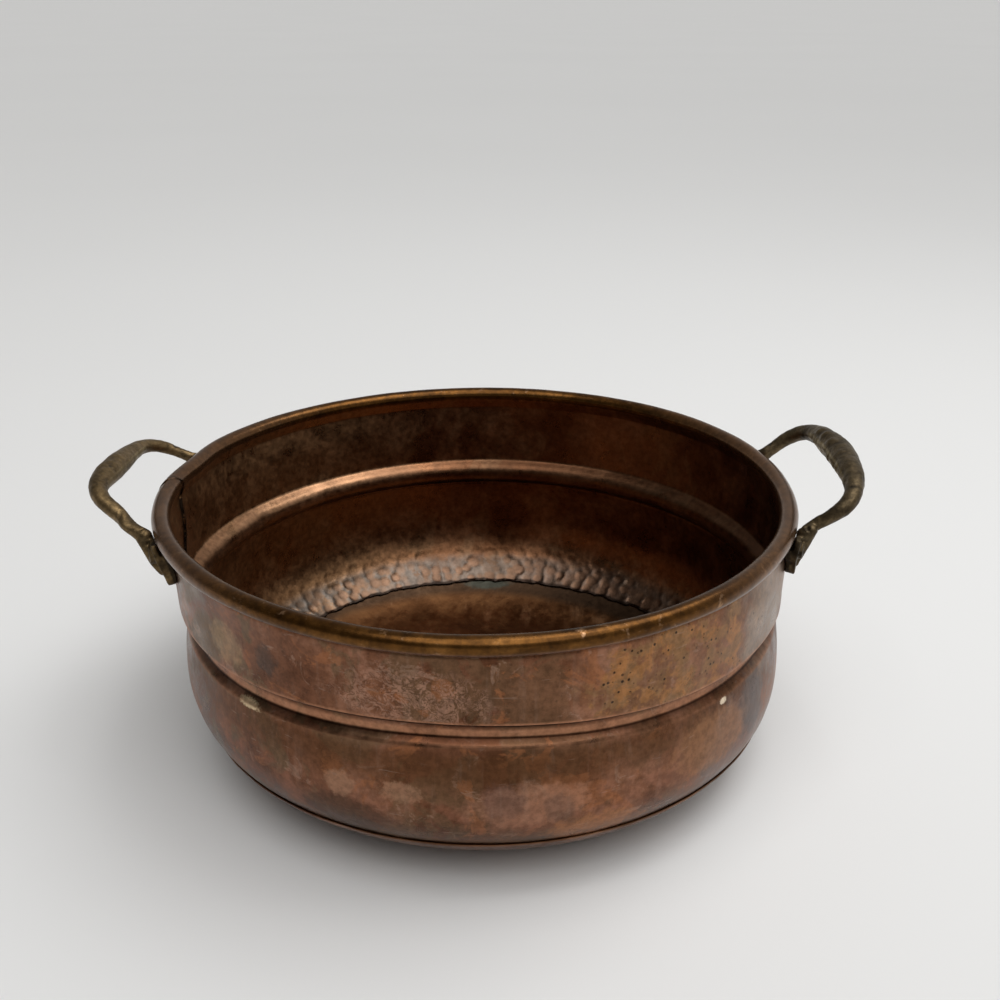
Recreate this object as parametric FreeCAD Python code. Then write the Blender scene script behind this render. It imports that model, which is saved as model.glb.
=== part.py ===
import FreeCAD, Part
import math
import os

from FreeCAD import Vector

# Round sheet-copper bowl with a wired rim, a swaged waist and two riveted cast handles.
# Frame: origin on the table under the bowl's axis, +Z up, handles at -X and +X. Millimetres.

# ---- Driving dimensions -------------------------------------------------------------------
rim_diameter = 320.0        # over the rolled rim
bowl_height = 136.7         # table to the top of the rim
sheet = 1.2                 # copper sheet thickness
wire_radius = 3.25          # iron wire inside the rim
fit_gap = 0.05              # clearance where a piece is closed round another

# Outer surface of the wall, as radius and height.
neck_radius = 154.9         # top of the upper wall, where it turns in under the rim
neck_drop = 7.0             # how far the neck lies below the centre of the wire
neck_bend = 4.0
waist_top = (153.6, 89.0)   # lower edge of the upper wall
groove_top = (147.4, 85.0)
groove_bottom = (147.4, 79.0)
shoulder_height = 75.9      # upper edge of the belly
belly_radius = 153.5        # widest point of the belly
belly_height = 49.8
belly_upper_curve = 130.0   # curvature radius above the widest point
belly_lower_curve = 40.0    # curvature radius below it
belly_lower_sweep = 45.0    # degrees
crisp_bend = 0.4            # bend radius of the waist's sharp folds
soft_bend = 1.5

# Lap joint between the wall and the base.
lap_upper_sweep = 35.0      # degrees below the widest point where the base's edge ends
lap_lower_sweep = 33.0      # degrees from the bottom where the wall's edge ends

# Rolled rim.
roll_end = -95.0            # degrees round the wire where the sheet's edge ends

# Handles: two castings from one pattern, each bent a little differently when it was fitted.
# The bar lies in a plane that rises outwards from the rim by the lift angle. Each station
# along it is: distance out in that plane, distance across, and the bar's radius there.
handles = {
    "right": {
        "azimuth": 0.35,
        "lift": 37.0,
        "standoff": 158.5,  # radius at which the plane crosses the level of the wire
        "stations": [
            (-3.5, -50.4, 4.0), (11.2, -49.4, 3.7), (21.2, -46.0, 4.2), (27.0, -35.4, 4.9),
            (29.8, -19.0, 6.3), (30.8, 0.0, 6.9), (29.8, 19.0, 6.3), (27.0, 35.4, 4.9),
            (20.7, 46.0, 4.1), (10.2, 50.0, 3.7), (-3.5, 50.2, 4.0),
        ],
        "lugs": (-18.9, 18.3),
        "lug_length": 20.6,
        "lug_lean": 8.0,    # degrees towards the wall, going down
    },
    "left": {
        "azimuth": 178.6,
        "lift": 28.3,
        "standoff": 159.2,
        "stations": [
            (-3.5, -48.6, 3.6), (9.4, -46.0, 3.2), (19.8, -38.3, 3.7), (24.2, -25.5, 4.4),
            (25.9, -9.2, 5.6), (27.1, 7.3, 6.0), (27.4, 21.5, 5.2), (24.9, 31.8, 4.4),
            (19.4, 38.0, 4.1), (9.4, 43.6, 3.8), (-3.5, 51.0, 3.8),
        ],
        "lugs": (-19.8, 20.0),
        "lug_length": 24.0,
        "lug_lean": 9.0,
    },
}

# Lug at the foot of each arm: a leaf-shaped plate set square to the wall's radius, a rib
# that runs from the arm down to the plate's tip, an eye round the rivet, and a pad behind
# the plate that seats it on the wall.
plate_reach = 159.6         # radius of the plate's inner face at its top
plate_top = -2.6            # heights relative to the centre of the wire
plate_thickness = 2.3
plate_half_width = 8.0
pad_drop = 8.0              # below the wire, where the plate's back starts to fill in
pad_depth = 6.0             # how thick that filling is before it is cut to the wall
rib_out = -1.5              # where the ribs meet the bar, as a distance out
rib_taper = 1.0             # how much slimmer than the bar the ribs are there
rib_foot_share = 0.76       # how far down the plate the rib ends
rib_foot_radius = 1.7
toe_out = -4.8              # centre of the ball that rounds each arm's end
toe_taper = 0.5             # how much slimmer it is than the bar
eye_radius = 4.3
eye_reach = 162.6

# Rivets: set in the lug's eye, through the wall, and hammered over inside the bowl.
rivet_drop = 10.0           # below the centre of the wire
rivet_radius = 2.5
rivet_end = 161.2
rivet_head_radius = 4.0
rivet_head_height = 0.45

# ---- Worked-out dimensions ----------------------------------------------------------------
bead_radius = wire_radius + fit_gap + sheet
wire_ring_radius = rim_diameter / 2 - bead_radius
wire_height = bowl_height - bead_radius
roll_inner = wire_radius + fit_gap
axis_z = Vector(0, 0, 1)


def point(radius, height):
    return Vector(radius, 0, height)


def on_circle(centre, radius, degrees):
    turn = math.radians(degrees)
    return centre + Vector(radius * math.cos(turn), 0, radius * math.sin(turn))


def arc(centre, radius, start, end):
    """Edge along a circle in the XZ plane, from one angle to another, in degrees."""
    middle = on_circle(centre, radius, (start + end) / 2)
    first = on_circle(centre, radius, start)
    last = on_circle(centre, radius, end)
    return Part.Arc(first, middle, last).toShape()


def rounded_chain(points, bends):
    """Straight edges through the points, each inner corner rounded to its bend radius."""
    edges = []
    here = points[0]
    for i, bend in enumerate(bends):
        corner = points[i + 1]
        back = (points[i] - corner).normalize()
        on = (points[i + 2] - corner).normalize()
        half = back.getAngle(on) / 2
        reach = bend / math.tan(half)
        enter = corner + back * reach
        leave = corner + on * reach
        inward = (back + on).normalize()
        middle = corner + inward * (bend / math.sin(half) - bend)
        edges.append(Part.LineSegment(here, enter).toShape())
        edges.append(Part.Arc(enter, middle, leave).toShape())
        here = leave
    edges.append(Part.LineSegment(here, points[-1]).toShape())
    return edges


def revolve_full(face):
    return face.revolve(Vector(0, 0, 0), axis_z, 360)


# ---- Curves shared by the wall and the base -----------------------------------------------
upper_centre = point(belly_radius - belly_upper_curve, belly_height)
lower_centre = point(belly_radius - belly_lower_curve, belly_height)
joint_floor = sheet + fit_gap
sweep_sine = math.sin(math.radians(belly_lower_sweep))
sweep_cosine = math.cos(math.radians(belly_lower_sweep))
bottom_curve = (belly_height - belly_lower_curve * sweep_sine - joint_floor) / (1 - sweep_sine)
bottom_centre = lower_centre + Vector(
    -(bottom_curve - belly_lower_curve) * sweep_cosine,
    0,
    (bottom_curve - belly_lower_curve) * sweep_sine,
)


def make_wall():
    """One sheet from the lap at the base, up over the belly and waist, and round the wire."""
    wire_centre = point(wire_ring_radius, wire_height)
    neck = point(neck_radius, wire_height - neck_drop)
    to_wire = wire_centre - neck
    lean = math.atan2(to_wire.z, to_wire.x) + math.asin(roll_inner / to_wire.Length)
    run = math.sqrt(to_wire.Length**2 - roll_inner**2)
    touch = neck + Vector(run * math.cos(lean), 0, run * math.sin(lean))
    roll_start = math.degrees(lean) + 90
    shoulder_sweep = math.degrees(
        math.asin((shoulder_height - belly_height) / belly_upper_curve)
    )
    shoulder = on_circle(upper_centre, belly_upper_curve, shoulder_sweep)
    edges = [
        arc(bottom_centre, bottom_curve, lap_lower_sweep - 90, -belly_lower_sweep),
        arc(lower_centre, belly_lower_curve, -belly_lower_sweep, 0),
        arc(upper_centre, belly_upper_curve, 0, shoulder_sweep),
    ]
    edges += rounded_chain(
        [shoulder, point(*groove_bottom), point(*groove_top), point(*waist_top), neck, touch],
        [soft_bend + sheet, soft_bend + sheet, crisp_bend, neck_bend],
    )
    edges.append(arc(wire_centre, roll_inner, roll_start, roll_end))
    section = Part.Wire(edges).makeOffset2D(sheet, 0, True, True, False)
    return revolve_full(section)


def make_base():
    """Shallow dish that closes the bottom, its edge lapped up outside the wall."""
    inner = fit_gap
    outer = fit_gap + sheet
    flat_end = bottom_centre.x
    inner_edges = [
        Part.LineSegment(point(0, sheet), point(flat_end, sheet)).toShape(),
        arc(bottom_centre, bottom_curve + inner, -90, -belly_lower_sweep),
        arc(lower_centre, belly_lower_curve + inner, -belly_lower_sweep, -lap_upper_sweep),
    ]
    outer_edges = [
        arc(lower_centre, belly_lower_curve + outer, -lap_upper_sweep, -belly_lower_sweep),
        arc(bottom_centre, bottom_curve + outer, -belly_lower_sweep, -90),
        Part.LineSegment(point(flat_end, 0), point(0, 0)).toShape(),
    ]
    inner_tip = on_circle(lower_centre, belly_lower_curve + inner, -lap_upper_sweep)
    outer_tip = on_circle(lower_centre, belly_lower_curve + outer, -lap_upper_sweep)
    lap_edge = Part.LineSegment(inner_tip, outer_tip).toShape()
    axis_edge = Part.LineSegment(point(0, 0), point(0, sheet)).toShape()
    outline = Part.Wire(inner_edges + [lap_edge] + outer_edges + [axis_edge])
    return revolve_full(Part.Face(outline))


def make_wire():
    return Part.makeTorus(wire_ring_radius, wire_radius, Vector(0, 0, wire_height), axis_z)


def turned(shape, azimuth):
    copy = shape.copy()
    copy.rotate(Vector(0, 0, 0), axis_z, azimuth)
    return copy


def turned_point(radius, azimuth, height):
    turn = math.radians(azimuth)
    return Vector(radius * math.cos(turn), radius * math.sin(turn), height)


def upper_wall_core(offset):
    """Solid frustum filling the upper wall to its outer surface, grown outwards by an offset.

    It carries on past the neck, so that it reaches above whatever is trimmed with it.
    """
    bottom = point(0, waist_top[1])
    neck_height = wire_height - neck_drop - waist_top[1]
    height = bowl_height - waist_top[1]
    flare = (neck_radius - waist_top[0]) * height / neck_height
    top_radius = waist_top[0] + flare + offset
    return Part.makeCone(waist_top[0] + offset, top_radius, height, bottom, axis_z)


def on_rivet_line(radius, start, end, azimuth):
    """Cylinder along a rivet's axis, between two distances from the bowl's axis."""
    first = turned_point(start, azimuth, wire_height - rivet_drop)
    outward = turned_point(1, azimuth, 0)
    return Part.makeCylinder(radius, end - start, first, outward)


def station_point(handle, station):
    """Centre of the bar at one station, in the handle's own frame, facing +X."""
    lift = math.radians(handle["lift"])
    out, across, _ = station
    return Vector(
        handle["standoff"] + out * math.cos(lift),
        across,
        wire_height + out * math.sin(lift),
    )


def make_bar(handle):
    """Smooth bar through the stations, thick at the grip and slimmer in the arms."""
    stations = handle["stations"]
    centres = [station_point(handle, station) for station in stations]
    line = Part.BSplineCurve()
    line.interpolate(centres)
    sections = []
    for centre, station in zip(centres, stations):
        along = line.tangent(line.parameter(centre))[0]
        sections.append(Part.Wire(Part.Circle(centre, along, station[2]).toShape()))
    return Part.makeLoft(sections, True, False)


def make_plate(handle, azimuth):
    """Leaf-shaped plate and its pad, outlined across Y and down Z from the top edge."""
    length = handle["lug_length"]
    half_top = 0.7 * plate_half_width
    half_low = 0.8 * plate_half_width
    widest = -0.4 * length
    low = -0.66 * length
    sides = {}
    for name, side in (("front", -1), ("back", 1)):
        sides[name] = [
            Vector(0, side * half_top, 0),
            Vector(0, side * plate_half_width, widest),
            Vector(0, side * half_low, low),
        ]
    tip = Vector(0, 0, -length)
    outline = Part.Wire([
        Part.LineSegment(sides["front"][0], sides["back"][0]).toShape(),
        Part.Arc(*sides["back"]).toShape(),
        Part.Arc(sides["back"][2], tip, sides["front"][2]).toShape(),
        Part.Arc(*reversed(sides["front"])).toShape(),
    ])
    parts = []
    for thickness in (plate_thickness, -pad_depth):
        part = Part.Face(outline).extrude(Vector(thickness, 0, 0))
        part.rotate(Vector(0, 0, 0), Vector(0, 1, 0), handle["lug_lean"])
        part.translate(point(plate_reach, wire_height + plate_top))
        parts.append(part)
    plate, pad = parts
    below = Part.makeCylinder(rim_diameter, waist_top[1], point(0, wire_height - pad_drop), -axis_z)
    return turned(plate.fuse(pad.common(below)), azimuth)


def make_lug(handle, station, azimuth):
    """Plate, rib, eye and the rounded root that joins them to the arm."""
    _, across, bar_radius = station
    root = station_point(handle, (rib_out, across, bar_radius))
    root_radius = bar_radius - rib_taper
    depth = rib_foot_share * handle["lug_length"]
    foot_radius = plate_reach - depth * math.tan(math.radians(handle["lug_lean"]))
    foot_height = wire_height + plate_top - depth
    foot = turned_point(foot_radius + rib_foot_radius, azimuth, foot_height)
    run = root - foot
    rib = Part.makeCone(rib_foot_radius, root_radius, run.Length, foot, run.normalize())
    knuckle = Part.makeSphere(root_radius, root)
    eye = on_rivet_line(eye_radius, 0.9 * waist_top[0], eye_reach, azimuth)
    eye = eye.cut(upper_wall_core(fit_gap))
    return make_plate(handle, azimuth).fuse([rib, knuckle, eye])


def make_handle(handle):
    """One casting, its arms' rounded ends hollowed to nest against the rolled rim."""
    solid = make_bar(handle)
    ends = (handle["stations"][0], handle["stations"][-1])
    for station, azimuth in zip(ends, handle["lugs"]):
        solid = solid.fuse(make_lug(handle, station, azimuth))
    for _, across, bar_radius in ends:
        toe_centre = station_point(handle, (toe_out, across, bar_radius))
        solid = solid.fuse(Part.makeSphere(bar_radius - toe_taper, toe_centre))
    nest_radius = bead_radius + fit_gap
    nest = Part.makeTorus(wire_ring_radius, nest_radius, Vector(0, 0, wire_height), axis_z)
    solid = solid.cut(nest).cut(upper_wall_core(fit_gap))
    for azimuth in handle["lugs"]:
        bore = on_rivet_line(rivet_radius + fit_gap, 150, rivet_end + fit_gap, azimuth)
        solid = solid.cut(bore)
    return turned(solid, handle["azimuth"])


def make_rivet(azimuth):
    """Rivet with its inner head lying to the curve of the wall."""
    inside = -sheet - fit_gap
    head = on_rivet_line(rivet_head_radius, 140, 160, azimuth)
    head = head.common(upper_wall_core(inside)).cut(upper_wall_core(inside - rivet_head_height))
    shank = on_rivet_line(rivet_radius, 140, rivet_end, azimuth)
    shank = shank.cut(upper_wall_core(inside - rivet_head_height / 2))
    return shank.fuse(head)


def make_pieces():
    wall = make_wall()
    pieces = {"rim_wire": make_wire(), "bowl_base": make_base()}
    for side, handle in handles.items():
        pieces["handle_" + side] = make_handle(handle)
        for offset in handle["lugs"]:
            azimuth = handle["azimuth"] + offset
            place = "front" if math.sin(math.radians(azimuth)) < 0 else "back"
            pieces["rivet_" + side + "_" + place] = make_rivet(azimuth)
            wall = wall.cut(on_rivet_line(rivet_radius + fit_gap, 140, 158, azimuth))
    pieces["bowl_wall"] = wall
    return pieces


os.makedirs("parts", exist_ok=True)
for name, shape in make_pieces().items():
    shape.Solids[0].exportStep("parts/" + name + ".step")
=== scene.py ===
import math

import bmesh
import bpy
import numpy as np
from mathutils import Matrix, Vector


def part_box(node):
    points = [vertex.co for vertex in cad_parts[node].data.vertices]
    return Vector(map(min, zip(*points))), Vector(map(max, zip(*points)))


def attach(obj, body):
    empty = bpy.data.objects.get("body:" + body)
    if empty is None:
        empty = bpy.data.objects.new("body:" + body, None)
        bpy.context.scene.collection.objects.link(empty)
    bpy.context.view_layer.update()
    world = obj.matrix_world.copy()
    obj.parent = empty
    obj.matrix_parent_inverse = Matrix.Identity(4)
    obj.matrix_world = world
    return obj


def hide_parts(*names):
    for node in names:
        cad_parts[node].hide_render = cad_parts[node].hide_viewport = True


# Antique copper bowl with a wired rim, a swaged waist, a hammered lap joint and cast handles.
# Shapes are worked out in millimetres in the model's frame and turned into metres at the end.

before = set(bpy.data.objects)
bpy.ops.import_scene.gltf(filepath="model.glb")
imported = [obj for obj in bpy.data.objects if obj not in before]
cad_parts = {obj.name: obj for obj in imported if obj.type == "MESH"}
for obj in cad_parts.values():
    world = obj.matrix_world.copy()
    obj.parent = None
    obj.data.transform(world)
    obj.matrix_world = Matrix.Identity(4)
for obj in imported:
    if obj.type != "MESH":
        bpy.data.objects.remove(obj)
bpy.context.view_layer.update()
MM = 0.001


# ---- Sizes read from the model ------------------------------------------------------------
def box_mm(node):
    low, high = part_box(node)
    return np.array(low) / MM, np.array(high) / MM


wire_low, wire_high = box_mm("rim_wire")
_, wall_high = box_mm("bowl_wall")
WIRE_RADIUS = (wire_high[2] - wire_low[2]) / 2
WIRE_HEIGHT = (wire_high[2] + wire_low[2]) / 2
WIRE_RING = wire_high[0] - WIRE_RADIUS
BEAD_RADIUS = wall_high[0] - WIRE_RING
FIT_GAP = 0.05
SHEET = BEAD_RADIUS - WIRE_RADIUS - FIT_GAP
ROLL_INNER = WIRE_RADIUS + FIT_GAP

# Outer surface of the wall, as radius and height.
NECK = (154.9, WIRE_HEIGHT - 7.0)
WAIST_TOP = (153.6, 89.0)
GROOVE_TOP = (147.4, 85.0)
GROOVE_BOTTOM = (147.4, 79.0)
SHOULDER_HEIGHT = 75.9
BELLY_RADIUS = 153.5
BELLY_HEIGHT = 49.8
UPPER_CURVE = 130.0
LOWER_CURVE = 40.0
LOWER_SWEEP = 45.0
LAP_UPPER_SWEEP = 35.0
LAP_LOWER_SWEEP = 33.0
ROLL_END = -95.0
LAP_FLOOR = SHEET + FIT_GAP
LAP_RADIUS = 136.0          # of the hammered band inside, used to space its marks
SEAM_AZIMUTH = 178.0
KNOCK_AZIMUTH = 167.0       # where the rim is pushed in, just behind the seam
KNOCK_DEPTH = 2.4
PLATE_REACH = 160.0         # inner face of the lugs' plates, level with the wire
PLATE_LEAN = 0.15           # how much nearer the wall it gets for each millimetre down
FRONT_SHIFT = 0.8           # how far back the whole bowl stands
SIDE_SHIFT = 2.2            # how far the wall leans to the right below the rim
FOOT_SHIFT = (2.2, 2.0)     # how much further its foot stands to the right and back
WAIST_LIFT = 5.2            # rise of the waist at the front
WIDTH_FIT = 0.9963          # keeps the uneven form inside the model's own width


# ---- Random but repeatable surfaces -------------------------------------------------------
def lattice_noise(points, size, seed):
    """Smooth value from -1 to 1 at each point (n, 3); size is the spacing of its bumps."""
    table = np.random.default_rng(seed).uniform(-1, 1, 8192)
    cell = points / size
    low = np.floor(cell).astype(np.int64)
    part = cell - low
    part = part * part * (3 - 2 * part)
    total = np.zeros(len(points))
    for corner in range(8):
        step = np.array([corner & 1, corner >> 1 & 1, corner >> 2 & 1])
        index = low + step
        key = index[:, 0] * 73856093 ^ index[:, 1] * 19349663 ^ index[:, 2] * 83492791
        share = np.prod(np.where(step == 1, part, 1 - part), axis=1)
        total += share * table[key & 8191]
    return total


def smooth_step(value, low, high):
    share = np.clip((value - low) / (high - low), 0, 1)
    return share * share * (3 - 2 * share)


def out_of_round(azimuth):
    """How far the hand-made rim and upper wall stand from a true circle."""
    wander = 0.19 * np.cos(2 * azimuth) - 0.87 * np.cos(3 * azimuth)
    return wander + 1.1 * np.sin(3 * azimuth) + 0.2 * np.cos(4 * azimuth)


def warp(points):
    """Moves points (n, 3) from the true solid of revolution to the bowl's uneven form."""
    moved = points.copy()
    azimuth = np.arctan2(points[:, 1], points[:, 0])
    upper = smooth_step(points[:, 2], 70, 100)
    radius = np.hypot(points[:, 0], points[:, 1])
    reach = 1 + out_of_round(azimuth) * upper / np.maximum(radius, 100)
    low = 1 - smooth_step(points[:, 2], 10, 60)
    lean = SIDE_SHIFT * (1 - smooth_step(points[:, 2], 110, 131))
    moved[:, 0] = points[:, 0] * reach + lean + FOOT_SHIFT[0] * low
    moved[:, 1] = WIDTH_FIT * (points[:, 1] * reach + FRONT_SHIFT) + FOOT_SHIFT[1] * low
    from_front = (np.degrees(azimuth) + 95 + 180) % 360 - 180
    lift = WAIST_LIFT * np.exp(-((from_front / 32) ** 2)) - 0.2
    waist = smooth_step(points[:, 2], 45, 74) * (1 - smooth_step(points[:, 2], 93, 120))
    moved[:, 2] = points[:, 2] + lift * waist
    return moved


# ---- Profiles -----------------------------------------------------------------------------
def arc_run(centre, radius, start, end, step=1.2, least=6):
    count = max(least, int(abs(math.radians(end - start)) * radius / step))
    turn = np.radians(np.linspace(start, end, count + 1))
    return np.column_stack([centre[0] + radius * np.cos(turn), centre[1] + radius * np.sin(turn)])


def straight_run(first, last, step=1.2):
    count = max(1, int(np.linalg.norm(last - first) / step))
    share = np.linspace(0, 1, count + 1)[:, None]
    return first + (last - first) * share


def unit(vector):
    return vector / np.linalg.norm(vector)


def rounded_run(corners, bends):
    """Points along straight runs through the corners, each corner rounded to its bend."""
    runs = []
    here = corners[0]
    for i, bend in enumerate(bends):
        corner = corners[i + 1]
        back = unit(corners[i] - corner)
        onward = unit(corners[i + 2] - corner)
        half = math.acos(np.clip(back @ onward, -1, 1)) / 2
        reach = bend / math.tan(half)
        centre = corner + unit(back + onward) * bend / math.sin(half)
        enter = corner + back * reach - centre
        leave = corner + onward * reach - centre
        start = math.degrees(math.atan2(enter[1], enter[0]))
        end = math.degrees(math.atan2(leave[1], leave[0]))
        end = start + (end - start + 180) % 360 - 180
        runs.append(straight_run(here, centre + enter)[:-1])
        runs.append(arc_run(centre, bend, start, end)[:-1])
        here = centre + leave
    runs.append(straight_run(here, corners[-1]))
    return np.vstack(runs)


def left_of(first, last):
    along = unit(last - first)
    return np.array([-along[1], along[0]])


def offset_corners(corners, distance):
    """The same run of straight lines, moved to the left by a distance."""
    moved = [corners[0] + left_of(corners[0], corners[1]) * distance]
    for before, corner, after in zip(corners, corners[1:], corners[2:]):
        first = left_of(before, corner)
        second = left_of(corner, after)
        moved.append(corner + (first + second) * distance / (1 + first @ second))
    moved.append(corners[-1] + left_of(corners[-2], corners[-1]) * distance)
    return moved


UPPER_CENTRE = np.array([BELLY_RADIUS - UPPER_CURVE, BELLY_HEIGHT])
LOWER_CENTRE = np.array([BELLY_RADIUS - LOWER_CURVE, BELLY_HEIGHT])
DIAGONAL = math.radians(LOWER_SWEEP)
BEND_POINT = LOWER_CENTRE + LOWER_CURVE * np.array([math.cos(DIAGONAL), -math.sin(DIAGONAL)])
BOTTOM_CURVE = (BEND_POINT[1] - LAP_FLOOR) / (1 - math.cos(DIAGONAL))
BOTTOM_CENTRE = BEND_POINT + BOTTOM_CURVE * np.array([-math.sin(DIAGONAL), math.cos(DIAGONAL)])


def wall_side(offset, bends):
    """One face of the wall's sheet, from the lap up and round the wire, and its roll's start."""
    wire = np.array([WIRE_RING, WIRE_HEIGHT])
    to_wire = wire - np.array(NECK)
    distance = np.linalg.norm(to_wire)
    lean = math.atan2(to_wire[1], to_wire[0]) + math.asin(ROLL_INNER / distance)
    run = math.sqrt(distance**2 - ROLL_INNER**2)
    touch = np.array(NECK) + run * np.array([math.cos(lean), math.sin(lean)])
    sweep = math.asin((SHOULDER_HEIGHT - BELLY_HEIGHT) / UPPER_CURVE)
    shoulder = UPPER_CENTRE + UPPER_CURVE * np.array([math.cos(sweep), math.sin(sweep)])
    corners = [shoulder, GROOVE_BOTTOM, GROOVE_TOP, WAIST_TOP, NECK, touch]
    corners = offset_corners([np.array(corner, float) for corner in corners], offset)
    sweep = math.degrees(sweep)
    low = LAP_LOWER_SWEEP - 90
    below = np.vstack([
        arc_run(BOTTOM_CENTRE, BOTTOM_CURVE - offset, low, -LOWER_SWEEP)[:-1],
        arc_run(LOWER_CENTRE, LOWER_CURVE - offset, -LOWER_SWEEP, 0)[:-1],
        arc_run(UPPER_CENTRE, UPPER_CURVE - offset, 0, sweep)[:-1],
        rounded_run(corners, bends)[:-1],
    ])
    roll = arc_run(wire, ROLL_INNER + offset, math.degrees(lean) + 90, ROLL_END, step=0.8)
    return np.vstack([below, roll]), len(below)


def normals_of(line, side):
    """Unit normals of a profile line; side 1 is its left, -1 its right."""
    along = np.gradient(line, axis=0)
    along /= np.linalg.norm(along, axis=1)[:, None]
    return np.column_stack([-along[:, 1], along[:, 0]]) * side


def cap(first, last, outward):
    """Rounded edge of a sheet, between the ends of its two faces."""
    middle = (first + last) / 2
    half = (first - last) / 2
    reach = np.linalg.norm(half)
    turn = np.radians([45, 90, 135])[:, None]
    return middle + half * np.cos(turn) + outward * reach * np.sin(turn)


# ---- Meshes -------------------------------------------------------------------------------
def make_object(name, points, faces, attributes=None):
    mesh = bpy.data.meshes.new(name)
    mesh.from_pydata((points * MM).tolist(), [], faces)
    for key, values in (attributes or {}).items():
        layer = mesh.attributes.new(key, "FLOAT", "POINT")
        layer.data.foreach_set("value", values.astype(np.float32))
    work = bmesh.new()
    work.from_mesh(mesh)
    bmesh.ops.recalc_face_normals(work, faces=work.faces)
    work.to_mesh(mesh)
    work.free()
    mesh.polygons.foreach_set("use_smooth", [True] * len(mesh.polygons))
    piece = bpy.data.objects.new(name, mesh)
    bpy.context.scene.collection.objects.link(piece)
    return piece


def ring_faces(rows, columns, closed_rows):
    """Quads over a grid of rows by columns, closed round the columns."""
    last = rows if closed_rows else rows - 1
    row = np.arange(last)[:, None]
    column = np.arange(columns)[None, :]
    below = (row + 1) % rows
    beside = (column + 1) % columns
    quads = np.stack([
        row * columns + column,
        row * columns + beside,
        below * columns + beside,
        below * columns + column,
    ], axis=-1)
    return quads.reshape(-1, 4).tolist()


def place(piece, nodes, material):
    piece.data.materials.clear()
    piece.data.materials.append(material)
    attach(piece, "root")
    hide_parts(*nodes)
    return piece


def hammer_marks(along, across, seed):
    """Depth of overlapping round hammer marks, in rows along the lap joint.

    Where two marks meet, the metal left between them stands up as a ridge.
    """
    random = np.random.default_rng(seed)
    depth = np.zeros(along.shape)
    length = 2 * math.pi * LAP_RADIUS
    rows = [(3.2, 0.55, 6.6), (8.4, 0.56, 6.9), (13.6, 0.48, 7.4), (18.8, 0.26, 8.6)]
    for row, (height, deep, pitch) in enumerate(rows):
        count = int(length / pitch)
        for k in range(count):
            centre = (k + 0.5 * row + random.uniform(-0.3, 0.3)) * length / count
            middle = height + random.uniform(-1.4, 1.4)
            reach = random.uniform(3.2, 4.6)
            squash = random.uniform(0.9, 1.1)
            strength = deep * random.uniform(0.5, 1.1)
            if random.random() < 0.06:
                continue
            aside = (across - centre + length / 2) % length - length / 2
            column = np.where(np.abs(aside[0]) < reach + 3)[0]
            away = np.hypot(aside[:, column] * squash, along[:, column] - middle) / reach
            mark = strength * np.clip(1 - away**4, 0, None)
            rim = 0.35 * strength * np.exp(-(((away - 1.05) / 0.14) ** 2))
            depth[:, column] = np.where(away < 1, np.maximum(depth[:, column], mark), depth[:, column])
            outside = (away >= 1) & (depth[:, column] <= 0.02)
            depth[:, column] = np.where(outside, np.minimum(depth[:, column], -rim), depth[:, column])
    return depth


def seam_line(height, inner, roll_turn, on_roll):
    """Azimuth of the side seam, in degrees, at each height of the inner or outer face.

    On the rolled rim the joint runs slantwise over the roll, from outside to inside.
    """
    inner_turns = [178.4, 178.4, 178.0, 179.4, 177.5, 176.7, 175.4]
    inside = np.interp(height, [0, 60, 84, 98, 108, 120, 128], inner_turns)
    outside = np.interp(height, [0, 84, 128], [178.0, 178.4, 180.6])
    over = np.interp(roll_turn, [-60, 0, 90, 180, 240], [180.6, 180.6, 177.5, 175.6, 175.4])
    return np.where(on_roll > 0, over, np.where(inner > 0, inside, outside))


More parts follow.
